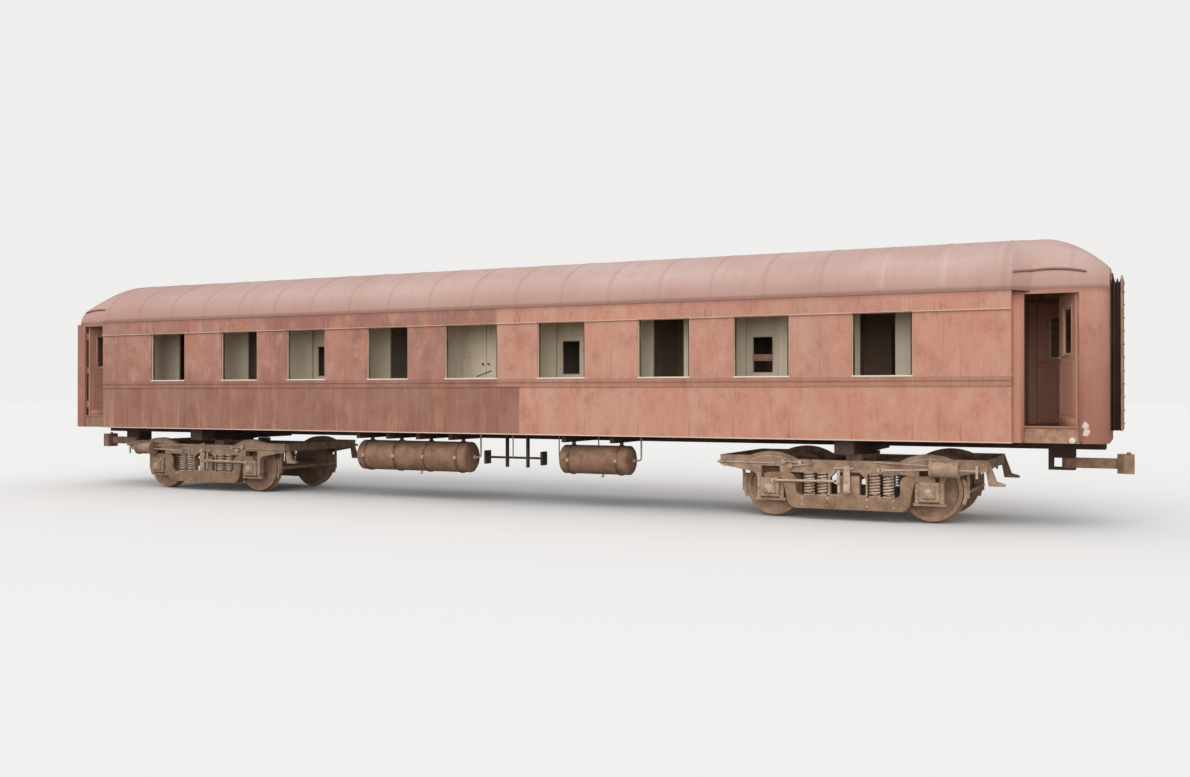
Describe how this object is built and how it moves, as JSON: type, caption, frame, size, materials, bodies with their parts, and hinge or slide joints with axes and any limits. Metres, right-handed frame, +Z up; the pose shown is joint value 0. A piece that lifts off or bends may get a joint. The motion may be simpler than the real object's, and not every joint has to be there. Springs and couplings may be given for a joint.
{
  "type": "passenger coach",
  "caption": "Long steel compartment coach with side corridor, open end vestibules, turtle-back roof, gangways and two four-wheel bogies with drop equalizers.",
  "frame": {"origin": "on the coach's centre line, midway between the bogies, at the tips of the wheel flanges", "axes": "+X along the coach, +Y towards the room side, -Y towards the corridor side, +Z up"},
  "size_m": [20.94, 3.06, 4.2778],
  "materials": {
    "body_paint": "matt, faded oxide red",
    "door_paint": "matt, faded oxide red",
    "roof_paint": "matt, chalky grey-pink",
    "inside_paint": "matt, pale cream green",
    "room_door": "painted cream, worn",
    "floor_boards": "bare, dirty",
    "shutter": "dark, unlit slats",
    "underframe_steel": "dull, rusty",
    "bogie_steel": "dusty brown-grey",
    "wheel_steel": "rusty, dusty",
    "spring_steel": "dull",
    "tank_paint": "dusty, dull",
    "canvas": "dark, weathered",
    "plate_steel": "rusty red"
  },
  "bodies": {
    "carbody": {"sills": "underframe_steel", "cross_bearers": "underframe_steel", "coupler_pockets": "underframe_steel", "body_bolsters": "underframe_steel", "floor": "floor_boards", "side_wall_corridor": "body_paint", "side_wall_rooms": "body_paint", "roof": "roof_paint", "vestibule_right": "body_paint", "vestibule_left": "body_paint", "bulkheads": "body_paint", "corridor_header": "inside_paint", "corridor_panels": "inside_paint", "lobby_walls": "inside_paint", "room_walls": "inside_paint", "ceiling": "inside_paint", "window_shutters": "shutter", "step_boxes": "plate_steel", "gangway_bellows": "canvas", "gangway_faces": "plate_steel", "long_tank": "tank_paint", "short_tank": "tank_paint", "floor_brake_gear": "underframe_steel"},
    "side_door_right_corridor": {"side_door_right_corridor": "door_paint"},
    "side_door_right_rooms": {"side_door_right_rooms": "door_paint"},
    "side_door_left_corridor": {"side_door_left_corridor": "door_paint"},
    "side_door_left_rooms": {"side_door_left_rooms": "door_paint"},
    "end_door_right": {"end_door_right": "door_paint"},
    "end_door_left": {"end_door_left": "door_paint"},
    "room_door_3": {"room_door_3": "room_door"},
    "room_door_6": {"room_door_6": "room_door"},
    "room_door_8": {"room_door_8": "room_door"},
    "pantry_door_left": {"pantry_door_left": "room_door"},
    "pantry_door_right": {"pantry_door_right": "room_door"},
    "coupler_right": {"coupler_right": "wheel_steel"},
    "coupler_left": {"coupler_left": "wheel_steel"},
    "bogie_right": {"bogie_frame_right": "bogie_steel", "bogie_bolster_right": "bogie_steel", "axle_boxes_right": "bogie_steel", "equalizers_right": "bogie_steel", "spring_seats_right": "bogie_steel", "springs_right": "spring_steel", "bogie_brakes_right": "bogie_steel"},
    "wheelset_right_outer": {"wheelset_right_outer": "wheel_steel"},
    "wheelset_right_inner": {"wheelset_right_inner": "wheel_steel"},
    "bogie_left": {"bogie_frame_left": "bogie_steel", "bogie_bolster_left": "bogie_steel", "axle_boxes_left": "bogie_steel", "equalizers_left": "bogie_steel", "spring_seats_left": "bogie_steel", "springs_left": "spring_steel", "bogie_brakes_left": "bogie_steel"},
    "wheelset_left_outer": {"wheelset_left_outer": "wheel_steel"},
    "wheelset_left_inner": {"wheelset_left_inner": "wheel_steel"}
  },
  "joints": [
    {"name": "side_door_right_corridor_hinge", "type": "hinge", "parent": "carbody", "child": "side_door_right_corridor", "pos_m": [9.793, -1.116, 1.5], "axis": [0, 0, 1], "range_deg": [-15, 70]},
    {"name": "side_door_right_rooms_hinge", "type": "hinge", "parent": "carbody", "child": "side_door_right_rooms", "pos_m": [9.793, 1.116, 1.5], "axis": [0, 0, 1], "range_deg": [0, 85]},
    {"name": "side_door_left_corridor_hinge", "type": "hinge", "parent": "carbody", "child": "side_door_left_corridor", "pos_m": [-9.793, -1.116, 1.5], "axis": [0, 0, 1], "range_deg": [-80, 5]},
    {"name": "side_door_left_rooms_hinge", "type": "hinge", "parent": "carbody", "child": "side_door_left_rooms", "pos_m": [-9.793, 1.116, 1.5], "axis": [0, 0, 1], "range_deg": [-85, 0]},
    {"name": "end_door_right_hinge", "type": "hinge", "parent": "carbody", "child": "end_door_right", "pos_m": [10.076, 0.328, 1.5], "axis": [0, 0, 1], "range_deg": [-85, 0]},
    {"name": "end_door_left_hinge", "type": "hinge", "parent": "carbody", "child": "end_door_left", "pos_m": [-10.076, -0.328, 1.5], "axis": [0, 0, 1], "range_deg": [-85, 0]},
    {"name": "room_door_3_slide", "type": "slide", "parent": "carbody", "child": "room_door_3", "axis": [1, 0, 0], "range_m": [0, 0.5]},
    {"name": "room_door_6_slide", "type": "slide", "parent": "carbody", "child": "room_door_6", "axis": [1, 0, 0], "range_m": [0, 0.5]},
    {"name": "room_door_8_slide", "type": "slide", "parent": "carbody", "child": "room_door_8", "axis": [1, 0, 0], "range_m": [0, 0.5]},
    {"name": "pantry_door_left_hinge", "type": "hinge", "parent": "carbody", "child": "pantry_door_left", "pos_m": [-0.677, -0.7083, 1.5], "axis": [0, 0, 1], "range_deg": [-85, 0]},
    {"name": "pantry_door_right_hinge", "type": "hinge", "parent": "carbody", "child": "pantry_door_right", "pos_m": [0.357, -0.7083, 1.5], "axis": [0, 0, 1], "range_deg": [0, 85]},
    {"name": "coupler_right_swing", "type": "hinge", "parent": "carbody", "child": "coupler_right", "pos_m": [9.56, 0, 0.918], "axis": [0, 0, 1], "range_deg": [-8, 8]},
    {"name": "coupler_left_swing", "type": "hinge", "parent": "carbody", "child": "coupler_left", "pos_m": [-9.56, 0, 0.918], "axis": [0, 0, 1], "range_deg": [-8, 8]},
    {"name": "bogie_right_swivel", "type": "hinge", "parent": "carbody", "child": "bogie_right", "pos_m": [6.5, 0, 0.988], "axis": [0, 0, 1], "range_deg": [-6, 6]},
    {"name": "wheelset_right_outer_roll", "type": "hinge", "parent": "bogie_right", "child": "wheelset_right_outer", "pos_m": [7.719, 0, 0.485], "axis": [0, 1, 0], "continuous": true},
    {"name": "wheelset_right_inner_roll", "type": "hinge", "parent": "bogie_right", "child": "wheelset_right_inner", "pos_m": [5.281, 0, 0.485], "axis": [0, 1, 0], "continuous": true},
    {"name": "bogie_left_swivel", "type": "hinge", "parent": "carbody", "child": "bogie_left", "pos_m": [-6.5, 0, 0.988], "axis": [0, 0, 1], "range_deg": [-6, 6]},
    {"name": "wheelset_left_outer_roll", "type": "hinge", "parent": "bogie_left", "child": "wheelset_left_outer", "pos_m": [-7.719, 0, 0.485], "axis": [0, 1, 0], "continuous": true},
    {"name": "wheelset_left_inner_roll", "type": "hinge", "parent": "bogie_left", "child": "wheelset_left_inner", "pos_m": [-5.281, 0, 0.485], "axis": [0, 1, 0], "continuous": true}
  ]
}
